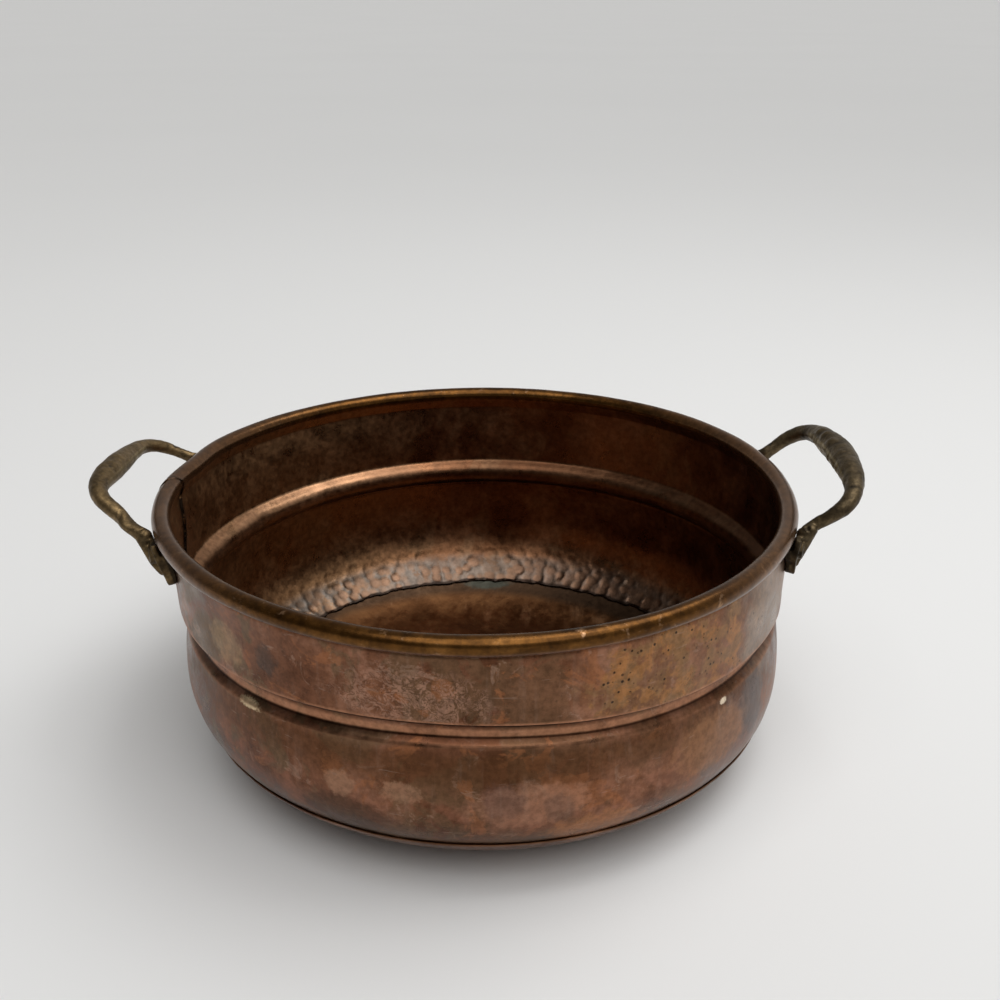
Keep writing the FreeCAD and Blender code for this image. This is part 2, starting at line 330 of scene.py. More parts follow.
def make_wall():
    outer, outer_bead = wall_side(0.0, [2.7, 2.7, 0.5, 4.0])
    inner, inner_bead = wall_side(SHEET, [6.4, 6.4, 2.4, 2.8])
    lap_end = cap(inner[0], outer[0], unit(outer[0] - outer[1]))
    roll_tip = cap(outer[-1], inner[-1], unit(outer[-1] - outer[-2]))
    line = np.vstack([outer, roll_tip, inner[::-1], lap_end])
    normal = np.vstack([
        normals_of(outer, -1),
        np.tile(unit(outer[-1] - outer[-2]), (3, 1)),
        normals_of(inner, 1)[::-1],
        np.tile(unit(outer[0] - outer[1]), (3, 1)),
    ])
    inside = np.concatenate([np.zeros(len(outer)), np.zeros(3), np.ones(len(inner)), np.ones(3)])
    step = np.linalg.norm(np.diff(inner, axis=0), axis=1)
    run = np.concatenate([[0], np.cumsum(step)])
    lap = np.concatenate([np.full(len(outer) + 3, 99.0), run[::-1], np.zeros(3)])
    bead = np.zeros(len(line))
    bead[outer_bead:len(line) - 3 - inner_bead] = 1

    tight = SEAM_AZIMUTH + np.array([-0.6, -0.25, -0.04, 0.04, 0.25, 0.6, 3.96, 4.04])
    azimuth = np.linspace(0, 360, 900, endpoint=False)
    azimuth = azimuth[np.min(np.abs(azimuth[:, None] - tight), axis=1) > 0.12]
    azimuth = np.sort(np.concatenate([azimuth, tight]))
    columns = len(azimuth)
    rows = len(line)
    radius = np.repeat(line[:, :1], columns, axis=1)
    height = np.repeat(line[:, 1:], columns, axis=1)
    spread = np.exp(-(((azimuth - SEAM_AZIMUTH) / 9) ** 2))
    roll_turn = np.degrees(np.arctan2(line[:, 1] - WIRE_HEIGHT, line[:, 0] - WIRE_RING))
    roll_turn = np.where(roll_turn < -100, roll_turn + 360, roll_turn)
    seam = seam_line(line[:, 1], inside, roll_turn, bead)
    turn = azimuth[None, :] + (seam - SEAM_AZIMUTH)[:, None] * spread[None, :]
    flat = np.stack([
        radius * np.cos(np.radians(turn)),
        radius * np.sin(np.radians(turn)),
        height,
    ], axis=-1).reshape(-1, 3)

    def noise(size, seed):
        return lattice_noise(flat, size, seed).reshape(rows, columns)

    # Hammer marks on the inner face of the lap, and the uneven lower edge they leave.
    along = np.repeat(lap[:, None], columns, axis=1)
    marks = hammer_marks(along, np.radians(turn) * LAP_RADIUS, 5)
    marks[along > 60] = 0
    push = -marks
    fade = 1 - smooth_step(along, 1.2, 3.2)
    edge = (noise(6.5, 21) + 0.6 * noise(3.0, 22)) * 0.9 * fade * (along < 60)

    # Lumps in the rolled rim, and its fatter end where the roll is joined at the seam.
    roll = bead[:, None] * roll_outer_face(rows, len(outer))[:, None]
    push += roll * (0.14 * noise(19, 31) + 0.04 * noise(7, 32))
    behind = SEAM_AZIMUTH - azimuth
    collar = np.where(behind > 0, np.exp(-np.abs(behind) / 9), 0)[None, :]
    push += roll * 0.45 * collar

    shifted = np.stack([radius + push * normal[:, :1], height + push * normal[:, 1:]], axis=-1)
    downward = unit(inner[0] - inner[1])
    shifted += edge[..., None] * downward

    # The side seam: one edge of the sheet laps over the other, inside and out.
    beyond = azimuth - SEAM_AZIMUTH
    inner_lap = np.where((beyond < 0) & (beyond > -40), np.exp(beyond / 5), 0)
    outer_lap = np.where((beyond > 4) & (beyond < 44), np.exp(-(beyond - 4) / 5), 0)
    plain = (1 - bead)[:, None] * smooth_step(height, 16, 30)
    overlap = -0.75 * inner_lap[None, :] * inside[:, None] * plain
    overlap += 0.6 * outer_lap[None, :] * (1 - inside)[:, None] * plain

    # Gentle dents in the whole sheet, and the rim pushed in beside the seam.
    dents = 0.30 * noise(46, 41) + 0.16 * noise(21, 42) + 0.05 * noise(9, 43)
    dents *= smooth_step(height, 14, 40)
    knocked = np.exp(-(((azimuth - KNOCK_AZIMUTH) / 8) ** 2))[None, :] * smooth_step(height, 105, 128)
    shifted[..., 0] += overlap + dents - KNOCK_DEPTH * knocked
    # A knock in the waist's inner ridge, and a soft lump in its upper edge.
    for where, level, wide, tall, depth in ((149.0, 83, 3.2, 6, 1.3), (130.2, 89, 2.6, 4, -0.8)):
        near = np.exp(-(((turn - where) / wide) ** 2) - ((height - level) / tall) ** 2)
        shifted[..., 0] += depth * near

    final = np.stack([
        shifted[..., 0] * np.cos(np.radians(turn)),
        shifted[..., 0] * np.sin(np.radians(turn)),
        shifted[..., 1],
    ], axis=-1).reshape(-1, 3)
    final = warp(final)
    wide = np.where(inside > 0.5, 0.9, 0.5) * (1 - 0.4 * bead)
    crack = np.exp(-(((azimuth[None, :] - SEAM_AZIMUTH) / wide[:, None]) ** 2))
    crack *= np.where(bead > 0, 0.8, 1.0)[:, None]
    # Painted shade in the folds of the groove, and painted highlights on the lit facet between them, on the
    # upper wall's lower edge and on the shoulder crease.
    groove = (inside < 0.5) & (line[:, 0] < WAIST_TOP[0] - 1.2) & (line[:, 1] > 60)
    painted_groove_shade = np.exp(-(((line[:, 1] - GROOVE_TOP[1] - 0.4) / 1.7) ** 2))
    painted_groove_shade += np.exp(-(((line[:, 1] - GROOVE_BOTTOM[1] + 0.3) / 0.55) ** 2))
    painted_highlight = smooth_step(line[:, 1], 78.9, 79.7) * (1 - smooth_step(line[:, 1], 81.9, 82.9))
    edge_highlights = np.exp(-(((line[:, 1] - WAIST_TOP[1] - 0.2) / 0.55) ** 2))
    edge_highlights += 0.6 * np.exp(-(((line[:, 1] - SHOULDER_HEIGHT) / 0.7) ** 2))
    painted_highlight = np.maximum(painted_highlight * groove, (inside < 0.5) * edge_highlights)
    attributes = {
        "inside": np.repeat(inside[:, None], columns, axis=1).ravel(),
        "bead": np.repeat(bead[:, None], columns, axis=1).ravel(),
        "lap": along.ravel(),
        "mark": np.clip(marks / 0.5, -0.5, 1).ravel(),
        "crack": crack.ravel(),
        "painted_groove_shade": np.repeat((np.clip(painted_groove_shade, 0, 1) * groove)[:, None], columns, axis=1).ravel(),
        "painted_highlight": np.repeat(painted_highlight[:, None], columns, axis=1).ravel(),
    }
    return make_object("hammered_wall", final, ring_faces(rows, columns, True), attributes)


def roll_outer_face(rows, outer_rows):
    """1 on the rolled rim's outer face, 0 on the face against the wire."""
    return (np.arange(rows) > outer_rows).astype(float)


def make_base():
    def face(distance):
        level = LAP_FLOOR - distance
        flat = straight_run(np.array([1.5, level]), np.array([BOTTOM_CENTRE[0], level]), 1.5)
        return np.vstack([
            flat[:-1],
            arc_run(BOTTOM_CENTRE, BOTTOM_CURVE + distance, -90, -LOWER_SWEEP)[:-1],
            arc_run(LOWER_CENTRE, LOWER_CURVE + distance, -LOWER_SWEEP, -LAP_UPPER_SWEEP),
        ])

    top = face(FIT_GAP)
    under = face(FIT_GAP + SHEET)
    edge = cap(top[-1], under[-1], unit(top[-1] - top[-2]))
    line = np.vstack([top, edge, under[::-1]])
    rows = len(line)
    columns = 640
    turn = np.linspace(0, 2 * math.pi, columns, endpoint=False)
    radius = np.repeat(line[:, :1], columns, axis=1)
    height = np.repeat(line[:, 1:], columns, axis=1)
    flat = np.stack([radius * np.cos(turn), radius * np.sin(turn), 0 * height], axis=-1).reshape(-1, 3)
    beaten = 0.5 + 0.5 * lattice_noise(flat, 34, 51)
    beaten = 0.75 * beaten + 0.12 * (1 + lattice_noise(flat, 13, 52))
    lift = beaten.reshape(rows, columns) * (1 - smooth_step(radius, 70, 100))
    # Hammering along the lap shows as small facets on the outside as well.
    facets = 0.16 * lattice_noise(flat, 7, 53) + 0.12 * lattice_noise(flat, 15, 54)
    swell = facets.reshape(rows, columns) * smooth_step(radius, 112, 126)
    swell = np.where(np.arange(rows)[:, None] > len(top) + 1, swell, 0)
    flat[:, :2] *= (1 + swell / np.maximum(radius, 1)).reshape(-1, 1)
    flat[:, 2] = (height + lift).ravel()
    centre_lift = float(lift[0].mean())
    centres = np.array([[0, 0, LAP_FLOOR - FIT_GAP + centre_lift], [0, 0, centre_lift]])
    points = warp(np.vstack([flat, centres]))
    faces = ring_faces(rows, columns, False)
    first = rows * columns
    last_row = (rows - 1) * columns
    for k in range(columns):
        beside = (k + 1) % columns
        faces.append([first, beside, k])
        faces.append([first + 1, last_row + k, last_row + beside])
    outside = np.where(np.arange(rows) > len(top) + 1, 1.0, 0.0)
    outside = np.concatenate([np.repeat(outside, columns), [0, 1]])
    return make_object("dished_base", points, faces, {"outside": outside})


def make_wire():
    columns = 600
    line = arc_run((WIRE_RING, WIRE_HEIGHT), WIRE_RADIUS - 0.1, 0, 360, step=1.0)[:-1]
    turn = np.linspace(0, 2 * math.pi, columns, endpoint=False)
    radius = np.repeat(line[:, :1], columns, axis=1)
    height = np.repeat(line[:, 1:], columns, axis=1)
    points = np.stack([radius * np.cos(turn), radius * np.sin(turn), height], axis=-1)
    return make_object("wire_ring", warp(points.reshape(-1, 3)), ring_faces(len(line), columns, True))


def apply_modifiers(piece, name):
    """Replaces the piece's mesh with what its modifiers make of it."""
    bpy.context.view_layer.update()
    shaped = bpy.data.meshes.new_from_object(piece.evaluated_get(bpy.context.evaluated_depsgraph_get()))
    piece.modifiers.clear()
    piece.data = shaped
    shaped.name = name
    shaped.polygons.foreach_set("use_smooth", [True] * len(shaped.polygons))


def remeshed(node, name, voxel, rounds):
    """A finely and evenly divided copy of a node, its hard edges softened."""
    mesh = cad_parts[node].data.copy()
    piece = bpy.data.objects.new(name, mesh)
    bpy.context.scene.collection.objects.link(piece)
    remesh = piece.modifiers.new("remesh", "REMESH")
    remesh.mode = "VOXEL"
    remesh.voxel_size = voxel * MM
    smooth = piece.modifiers.new("smooth", "SMOOTH")
    smooth.factor = 0.5
    smooth.iterations = rounds
    apply_modifiers(piece, name)
    return piece


def vertex_arrays(mesh):
    points = np.zeros(len(mesh.vertices) * 3)
    mesh.vertices.foreach_get("co", points)
    normals = np.zeros(len(mesh.vertices) * 3)
    mesh.vertex_normals.foreach_get("vector", normals)
    return points.reshape(-1, 3) / MM, normals.reshape(-1, 3)


def make_handle(side, roughness, seed):
    """A casting with a sand-cast skin, pits, and the ragged line where its mould parted."""
    piece = remeshed("handle_" + side, "cast_handle_" + side, 0.5, 6)
    points, _ = vertex_arrays(piece.data)
    bar = piece.vertex_groups.new(name="bar")
    far_out = np.hypot(points[:, 0], points[:, 1]) > 168
    bar.add(np.where(far_out)[0].tolist(), 1.0, "REPLACE")
    smooth = piece.modifiers.new("smooth", "SMOOTH")
    smooth.vertex_group = "bar"
    smooth.factor = 0.5
    smooth.iterations = 60
    apply_modifiers(piece, piece.name)
    points, normals = vertex_arrays(piece.data)
    sign = 1 if side == "right" else -1
    inward = np.zeros(len(points))
    inward -= normals[:, 0] * sign
    grip = smooth_step(points[:, 0] * sign, 170, 174)
    grip *= 1 - smooth_step(np.abs(points[:, 1]), 30, 40)
    skin = roughness * (0.20 * lattice_noise(points, 7.0, seed) + 0.15 * lattice_noise(points, 3.2, seed + 1))
    skin += 0.07 * lattice_noise(points, 1.6, seed + 2)
    lumps = np.clip(lattice_noise(points, 6.0, seed + 3) - 0.25, 0, None)
    pits = np.clip(lattice_noise(points, 4.2, seed + 4) - 0.55, 0, None)
    skin += roughness * 0.5 * lumps * grip - 0.9 * pits - 0.12
    # The long smoothing thins the bar, and this gives its thickness back.
    skin += 0.13 * smooth_step(np.hypot(points[:, 0], points[:, 1]), 167, 172)
    ragged = 0.55 + 0.45 * lattice_noise(points, 2.4, seed + 5)
    parting = smooth_step(inward, 0.86, 0.99) * grip
    if side == "right":
        # Three knobs left by flaws in the mould, on top of the grip towards the back.
        for across in (24, 15, 5):
            facing = normals @ np.array([-0.55, 0.0, 0.83])
            near = ((points[:, 1] - across) / 2.0) ** 2 + ((1 - facing) / 0.12) ** 2
            skin += 0.9 * np.exp(-near) * grip
    skin += (0.8 if side == "right" else 0.2) * parting * ragged
    moved = points + normals * skin[:, None]
    pulled = warp(points) - points
    radius = np.hypot(points[:, 0], points[:, 1])
    moved += pulled * (1 - smooth_step(radius, 157.5, 163))[:, None]
    moved[:, 2] = np.minimum(moved[:, 2], points[:, 2].max() - 0.02)
    piece.data.vertices.foreach_set("co", (moved * MM).ravel())
    # Painted shade in near black fills the pad between the lug's plate and the wall, and the pits in the skin
    # are darkened.
    plate_face = PLATE_REACH - PLATE_LEAN * (WIRE_HEIGHT - points[:, 2])
    behind = 1 - smooth_step(radius - plate_face, -0.9, 0.3)
    plate_shade_and_dark_pits = np.maximum(np.clip(-skin / 0.35, 0, 1), behind)
    for key, values in (("plate_shade_and_dark_pits", plate_shade_and_dark_pits), ("parting", parting)):
        layer = piece.data.attributes.new(key, "FLOAT", "POINT")
        layer.data.foreach_set("value", values.astype(np.float32))
    piece.data.update()
    return piece


def make_rivet(node):
    """A rivet whose inner head has been hammered almost level with the wall."""
    piece = remeshed(node, node.replace("rivet", "hammered_rivet"), 0.22, 2)
    points, _ = vertex_arrays(piece.data)
    radius = np.hypot(points[:, 0], points[:, 1])
    face = radius.min()
    sunk = 0.25 * np.clip(face + 1.0 - radius, 0, None)
    points[:, :2] *= (1 + sunk / radius)[:, None]
    piece.data.vertices.foreach_set("co", (warp(points) * MM).ravel())
    piece.data.update()
    return piece


# ---- Materials ----------------------------------------------------------------------------
class Surface:
    """Builds one procedural metal: a few helpers over Blender's shader nodes."""

    def __init__(self, name, metallic=1.0):
        self.material = bpy.data.materials.new(name)
        self.material.use_nodes = True
        self.nodes = self.material.node_tree.nodes
        self.links = self.material.node_tree.links
        self.nodes.clear()
        self.shader = self.nodes.new("ShaderNodeBsdfPrincipled")
        output = self.nodes.new("ShaderNodeOutputMaterial")
        self.links.new(self.shader.outputs[0], output.inputs["Surface"])
        self.shader.inputs["Metallic"].default_value = metallic
        self.place = self.nodes.new("ShaderNodeTexCoord").outputs["Object"]

    def connect(self, value, socket):
        if isinstance(value, bpy.types.NodeSocket):
            self.links.new(value, socket)
        elif isinstance(value, (tuple, list)) and len(value) == 3 and socket.type == "RGBA":
            socket.default_value = (*value, 1.0)
        else:
            socket.default_value = value

    def noise(self, size, detail=3.0, rough=0.5, seed=0.0, stretch=(1, 1, 1), distortion=0.0):
        mapping = self.nodes.new("ShaderNodeMapping")
        mapping.inputs["Location"].default_value = (seed * 1.7, seed * 0.9, seed * 2.3)
        mapping.inputs["Scale"].default_value = stretch
        self.links.new(self.place, mapping.inputs["Vector"])
        noise = self.nodes.new("ShaderNodeTexNoise")
        noise.inputs["Scale"].default_value = 1 / (size * MM)
        noise.inputs["Detail"].default_value = detail
        noise.inputs["Roughness"].default_value = rough
        noise.inputs["Distortion"].default_value = distortion
        self.links.new(mapping.outputs["Vector"], noise.inputs["Vector"])
        return noise.outputs["Fac"]

    def cells(self, size, seed=0.0):
        mapping = self.nodes.new("ShaderNodeMapping")
        mapping.inputs["Location"].default_value = (seed, seed * 1.3, seed * 0.7)
        self.links.new(self.place, mapping.inputs["Vector"])
        cells = self.nodes.new("ShaderNodeTexVoronoi")
        cells.inputs["Scale"].default_value = 1 / (size * MM)
        self.links.new(mapping.outputs["Vector"], cells.inputs["Vector"])
        return cells.outputs["Distance"]

    def ramp(self, value, stops):
        ramp = self.nodes.new("ShaderNodeValToRGB")
        elements = ramp.color_ramp.elements
        while len(elements) < len(stops):
            elements.new(0.5)
        for element, (position, colour) in zip(elements, stops):
            element.position = position
            element.color = (*colour, 1.0)
        self.links.new(value, ramp.inputs["Fac"])
        return ramp.outputs["Color"]

    def band(self, value, low, high, start=0.0, end=1.0):
        node = self.nodes.new("ShaderNodeMapRange")
        node.interpolation_type = "SMOOTHSTEP"
        node.inputs["From Min"].default_value = low
        node.inputs["From Max"].default_value = high
        node.inputs["To Min"].default_value = start
        node.inputs["To Max"].default_value = end
        self.links.new(value, node.inputs["Value"])
        return node.outputs["Result"]

    def maths(self, operation, first, second=0.0, third=0.0):
        node = self.nodes.new("ShaderNodeMath")
        node.operation = operation
        for socket, value in zip(node.inputs, (first, second, third)):
            self.connect(value, socket)
        return node.outputs[0]

    def mix(self, first, second, share, blend="MIX"):
        node = self.nodes.new("ShaderNodeMix")
        node.data_type = "RGBA"
        node.blend_type = blend
        self.connect(share, node.inputs["Factor"])
        self.connect(first, node.inputs["A"])
        self.connect(second, node.inputs["B"])
        return node.outputs["Result"]

    def lerp(self, first, second, share):
        node = self.nodes.new("ShaderNodeMix")
        self.connect(share, node.inputs["Factor"])
        self.connect(first, node.inputs["A"])
        self.connect(second, node.inputs["B"])
        return node.outputs["Result"]

    def attribute(self, name):
        node = self.nodes.new("ShaderNodeAttribute")
        node.attribute_name = name
        return node.outputs["Fac"]

    def axis(self, name):
        node = self.nodes.new("ShaderNodeSeparateXYZ")
        self.links.new(self.place, node.inputs[0])
        return node.outputs[name]

    def blob(self, centre, size, seed, ragged=0.5, soft=0.35):
        """Soft ragged patch round a place on the object; centre and size in millimetres."""
        away = self.nodes.new("ShaderNodeVectorMath")
        away.operation = "SUBTRACT"
        self.links.new(self.place, away.inputs[0])
        away.inputs[1].default_value = [c * MM for c in centre]
        scaled = self.nodes.new("ShaderNodeVectorMath")
        scaled.operation = "DIVIDE"
        self.links.new(away.outputs[0], scaled.inputs[0])
        scaled.inputs[1].default_value = [s * MM for s in size]
        length = self.nodes.new("ShaderNodeVectorMath")
        length.operation = "LENGTH"
        self.links.new(scaled.outputs[0], length.inputs[0])
        torn = self.noise(min(size) * 0.6, 5, 0.65, seed)
        distance = self.maths("MULTIPLY_ADD", torn, ragged * 2, length.outputs["Value"])
        return self.band(distance, 1 + ragged - soft, 1 + ragged + soft, 1, 0)

    def bump(self, height, depth, normal=None):
        node = self.nodes.new("ShaderNodeBump")
        node.inputs["Strength"].default_value = 1.0
        node.inputs["Distance"].default_value = depth * MM
        self.links.new(height, node.inputs["Height"])
        if normal is not None:
            self.links.new(normal, node.inputs["Normal"])
        return node.outputs["Normal"]

    def finish(self, colour, roughness, normal=None):
        self.connect(colour, self.shader.inputs["Base Color"])
        self.connect(roughness, self.shader.inputs["Roughness"])
        if normal is not None:
            self.links.new(normal, self.shader.inputs["Normal"])
        return self.material


def copper_wall():
    s = Surface("aged_copper_wall")
    large = s.noise(62, 6, 0.6, 1.0, distortion=0.5)
    medium = s.noise(20, 8, 0.66, 2.0, distortion=0.3)
    fine = s.noise(3.4, 6, 0.65, 3.0)
    height = s.axis("Z")
    across = s.axis("X")
    blend = s.maths("MULTIPLY_ADD", medium, 0.5, s.maths("MULTIPLY", large, 0.62))
    outside = s.ramp(blend, [
        (0.42, (0.080, 0.032, 0.015)),
        (0.52, (0.132, 0.054, 0.028)),
        (0.60, (0.190, 0.082, 0.044)),
        (0.70, (0.285, 0.138, 0.084)),
    ])
    # Crisp-edged stains: an olive film, bare orange copper and pale scuffs.
    film = s.band(s.noise(34, 9, 0.62, 21.0, distortion=0.6), 0.50, 0.545)
    film = s.maths("MULTIPLY", film, s.band(across, -0.13, 0.06, 0.85, 0.30))
    outside = s.mix(outside, (0.140, 0.088, 0.048), film)
    bare = s.band(s.noise(26, 9, 0.64, 22.0, distortion=0.8), 0.565, 0.60)
    outside = s.mix(outside, (0.290, 0.112, 0.048), s.maths("MULTIPLY", bare, 0.6))
    scuff = s.band(s.noise(13, 10, 0.72, 23.0, distortion=1.0), 0.585, 0.64)
    outside = s.mix(outside, (0.360, 0.225, 0.160), s.maths("MULTIPLY", scuff, 0.40))
    # The belly: painted shade in dark brown below the shoulder, a painted pink reflection band along its
    # middle, olive at the foot.
    shaded = s.maths("MULTIPLY", s.band(height, 0.055, 0.070), s.band(height, 0.074, 0.080, 1, 0))
    outside = s.mix(outside, (0.100, 0.042, 0.018), s.maths("MULTIPLY", shaded, 0.68))
    # Painted reflection: a lighter pink band along the middle of the belly.
    painted_reflection_band = s.maths("MULTIPLY", s.band(height, 0.026, 0.044), s.band(height, 0.050, 0.066, 1, 0))
    painted_reflection_band = s.maths("MULTIPLY", painted_reflection_band, s.band(medium, 0.42, 0.60))
    outside = s.mix(outside, (0.270, 0.120, 0.074), s.maths("MULTIPLY", painted_reflection_band, 0.55))
    foot = s.maths("MULTIPLY", s.band(height, 0.020, 0.040, 1, 0), s.band(medium, 0.40, 0.55, 0.3, 0.9))
    outside = s.mix(outside, (0.165, 0.105, 0.066), foot)
    # Ochre to the right of the upper wall, a pale end beyond it, dull purple low right.
    ochre = s.blob((88, -124, 108), (56, 44, 22), 5.0, 0.7, 0.16)
    ochre = s.maths("MULTIPLY", ochre, s.band(s.noise(16, 9, 0.66, 24.0), 0.44, 0.53, 0.10, 1.0))
    mottle = s.band(s.noise(14, 9, 0.68, 27.0, distortion=0.6), 0.47, 0.56)
    gold = s.mix((0.250, 0.135, 0.062), (0.345, 0.160, 0.060), mottle)
    outside = s.mix(outside, gold, s.maths("MULTIPLY", ochre, 0.85))
    pale = s.blob((134, -76, 106), (22, 36, 30), 6.0, 0.6, 0.3)
    outside = s.mix(outside, (0.290, 0.215, 0.160), s.maths("MULTIPLY", pale, 0.70))
    purple = s.blob((118, -98, 46), (24, 26, 24), 7.0, 0.7, 0.2)
    outside = s.mix(outside, (0.185, 0.125, 0.105), s.maths("MULTIPLY", purple, 0.6))
    # Scratched pink patch left of the middle, its lacquer wrinkled into worm-like ridges.
    scratched = s.blob((-30, -150, 104), (31, 30, 15), 8.0, 0.8, 0.35)
    wrinkle = s.noise(7.0, 3, 0.6, 9.0, distortion=2.6)
    lines = s.maths("ABSOLUTE", s.maths("SUBTRACT", wrinkle, 0.5))
    lines = s.band(lines, 0.010, 0.045)
    chips = s.band(s.noise(9.0, 9, 0.75, 11.0, distortion=1.2), 0.46, 0.52)
    pink = s.maths("MULTIPLY", s.maths("MULTIPLY", scratched, chips), lines)
    outside = s.mix(outside, (0.370, 0.205, 0.140), s.maths("MULTIPLY", pink, 0.62))
    # Light spots and blotches on the belly, and two painted highlights: cream glints on the shoulder crease
    # at the front left and front right.
    for k, (centre, size, colour, share) in enumerate([
        ((-58, -137, 40), (22, 18, 12), (0.085, 0.042, 0.026), 0.7),
        ((-60, -140, 57), (7, 7, 6), (0.33, 0.18, 0.11), 0.7),
        ((-33, -149, 58), (9, 9, 5), (0.33, 0.18, 0.11), 0.6),
        ((24, -152, 52), (26, 14, 11), (0.34, 0.17, 0.105), 0.6),
        ((10, -152, 55), (9, 9, 9), (0.105, 0.065, 0.055), 0.4),
        ((34, -149, 50), (7, 9, 7), (0.110, 0.070, 0.055), 0.4),
        ((50, -143, 34), (20, 16, 9), (0.36, 0.155, 0.065), 0.7),
        ((104, -110, 58), (24, 26, 14), (0.30, 0.145, 0.070), 0.6),
        ((127, -86, 62), (9, 14, 16), (0.085, 0.070, 0.066), 0.6),
        ((-112, -104, 104), (10, 14, 10), (0.34, 0.22, 0.12), 0.6),
        ((-92, -124, 106), (7, 8, 8), (0.065, 0.050, 0.042), 0.6),
        # Painted highlights: a cream glint on the shoulder crease at the front left, and a small one at the
        # front right.
        ((-103, -110.5, 77), (7.5, 7.5, 2.0), (0.80, 0.62, 0.38), 0.85),
        ((109, -105, 74), (2.5, 2.5, 1.5), (0.85, 0.70, 0.52), 0.9),
    ]):
        blotch_and_glint = s.blob(centre, size, 10.0 + k, 0.7, 0.25)
        outside = s.mix(outside, colour, s.maths("MULTIPLY", blotch_and_glint, share))
    # Black specks, thickest in the ochre patch.
    specks = s.band(s.cells(3.2, 3.0), 0.17, 0.25, 1, 0)
    chosen = s.band(s.noise(8, 5, 0.7, 15.0), 0.42, 0.52)
    thick = s.maths("MAXIMUM", s.maths("MULTIPLY", ochre, 0.95), s.band(height, 0.06, 0.10, 0.10, 0.22))
    specks = s.maths("MULTIPLY", s.maths("MULTIPLY", specks, chosen), thick)
    outside = s.mix(outside, (0.025, 0.016, 0.012), specks)
    # Fine scratches and vertical smears.
    smear = s.band(s.noise(4, 5, 0.6, 16.0, (1, 1, 0.10)), 0.53, 0.70)
    outside = s.mix(outside, (0.36, 0.25, 0.19), s.maths("MULTIPLY", smear, 0.10))
    hair = s.band(s.noise(1.5, 3, 0.6, 18.5, (0.06, 0.2, 1.0)), 0.66, 0.72)
    outside = s.mix(outside, (0.52, 0.40, 0.33), s.maths("MULTIPLY", hair, 0.15))
    # The groove: painted shade in its folds, painted highlights between them, along the wall's edge and on
    # the shoulder crease.
    painted_highlight = s.maths("MULTIPLY", s.attribute("painted_highlight"), s.band(medium, 0.36, 0.52, 0.45, 1.0))
    outside = s.mix(outside, (0.420, 0.200, 0.110), s.maths("MULTIPLY", painted_highlight, 0.75))
    outside = s.mix(outside, (0.040, 0.015, 0.008), s.maths("MULTIPLY", s.attribute("painted_groove_shade"), 0.9))

    within = s.ramp(blend, [
        (0.42, (0.090, 0.036, 0.016)),
        (0.56, (0.170, 0.075, 0.035)),
        (0.70, (0.270, 0.130, 0.065)),
    ])
    cloud = s.band(s.noise(30, 9, 0.6, 25.0, distortion=0.8), 0.52, 0.60)
    within = s.mix(within, (0.225, 0.130, 0.070), s.maths("MULTIPLY", cloud, 0.45))
    # Painted light: the inner wall is lighter towards the left, where the light from the right falls.
    painted_light_left = s.band(across, -0.13, -0.01, 0.85, 0.0)
    within = s.mix(within, (0.400, 0.225, 0.110), painted_light_left)
    # Painted highlight on the inside ridge, bright towards the seam on the left, with painted shade towards
    # the right.
    ridge = s.maths("MULTIPLY", s.band(height, 0.078, 0.083), s.band(height, 0.0885, 0.0915, 1, 0))
    ridge = s.maths("MULTIPLY", ridge, s.band(medium, 0.34, 0.52, 0.5, 1.0))
    painted_ridge_light = s.mix((0.380, 0.210, 0.125), (0.095, 0.046, 0.025), s.band(across, -0.11, -0.02))
    within = s.mix(within, painted_ridge_light, s.maths("MULTIPLY", ridge, 0.60))
    inside = s.attribute("inside")
    colour = s.mix(outside, within, inside)

    # Solder wiped over the hammered lap: silver-pink on the ridges, brown in the marks.
    lap = s.attribute("lap")
    ridges = s.band(s.attribute("mark"), 0.05, 0.9, 1.0, 0.35)
    zone = s.band(lap, 13, 22, 1, 0)
    left_side = s.band(across, -0.10, 0.09, 1.0, 0.30)
    wiped = s.band(s.noise(8, 8, 0.7, 17.0), 0.38, 0.50, 0.15, 1.0)
    solder = s.maths("MULTIPLY", s.maths("MULTIPLY", zone, wiped), s.maths("MULTIPLY", ridges, left_side))
    solder = s.maths("MULTIPLY", solder, inside)
    tarnish = s.maths("MULTIPLY", zone, inside)
    colour = s.mix(colour, (0.068, 0.048, 0.036), s.maths("MULTIPLY", tarnish, 0.65))
    colour = s.mix(colour, (0.150, 0.125, 0.105), solder)
    hollows = s.maths("MULTIPLY", s.band(s.attribute("mark"), 0.5, 1.0), inside)
    colour = s.mix(colour, (0.16, 0.085, 0.050), s.maths("MULTIPLY", hollows, 0.5))
    # Near black along the lap's lower edge: dirt in the joint and painted shade where the edge steps down to
    # the base.
    lip = s.maths("MULTIPLY", s.band(lap, 0.6, 2.0, 1, 0), inside)
    colour = s.mix(colour, (0.020, 0.013, 0.010), s.maths("MULTIPLY", lip, 0.9))

    # Rolled rim: amber lacquer on top, pinkish grey below it, and painted shade over its lower half.
    bead = s.attribute("bead")
    under = s.band(height, 0.1290, 0.1308, 1, 0)
    lacquer = s.ramp(s.maths("MULTIPLY_ADD", fine, 0.2, s.maths("MULTIPLY", medium, 0.8)), [
        (0.38, (0.058, 0.023, 0.004)),
        (0.52, (0.105, 0.043, 0.008)),
        (0.66, (0.165, 0.072, 0.017)),
    ])
    lacquer = s.mix(lacquer, (0.230, 0.115, 0.070), s.maths("MULTIPLY", under, 0.7))
